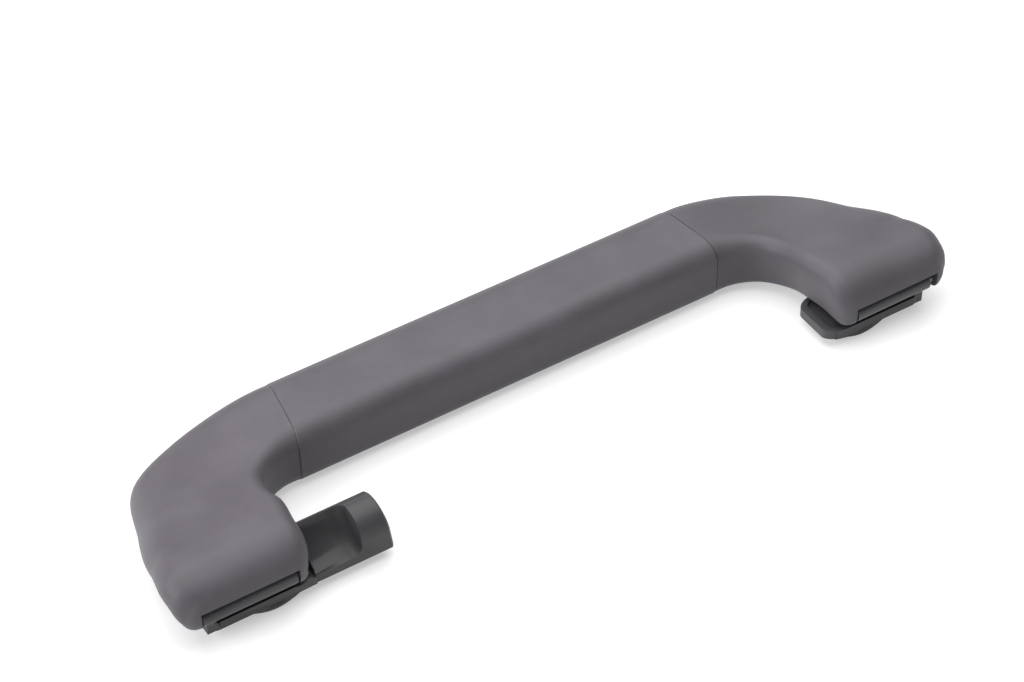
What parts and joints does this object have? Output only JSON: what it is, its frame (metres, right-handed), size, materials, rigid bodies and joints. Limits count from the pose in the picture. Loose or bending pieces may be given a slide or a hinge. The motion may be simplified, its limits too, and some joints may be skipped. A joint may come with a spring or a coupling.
{
  "type": "roof grab handle",
  "caption": "Fold-down car roof grab handle in dark grey plastic, on two hinge brackets, one with a barrel-ended arm.",
  "frame": {"origin": "midway between the two fixing holes, on the mounting face", "axes": "+X along the grip, +Y from the hinge feet to the grip, +Z away from the car roof"},
  "size_m": [0.2236, 0.0581, 0.022],
  "materials": {
    "handle_plastic": "fine grain",
    "bracket_plastic": "satin",
    "steel": "zinc plated"
  },
  "bodies": {
    "base": {"left_bracket": "bracket_plastic", "right_bracket": "bracket_plastic", "left_screw_bush": "steel", "right_screw_bush": "steel"},
    "handle": {"handle_frame": "handle_plastic", "grip_sleeve": "handle_plastic", "left_hinge_pin": "steel", "right_hinge_pin": "steel"}
  },
  "joints": [
    {"name": "fold_down", "type": "hinge", "parent": "base", "child": "handle", "pos_m": [0, -0.0076, 0.0103], "axis": [1, 0, 0], "range_deg": [0, 90], "stiffness_Nm_per_rad": 0.12, "springref_deg": -34.38}
  ]
}
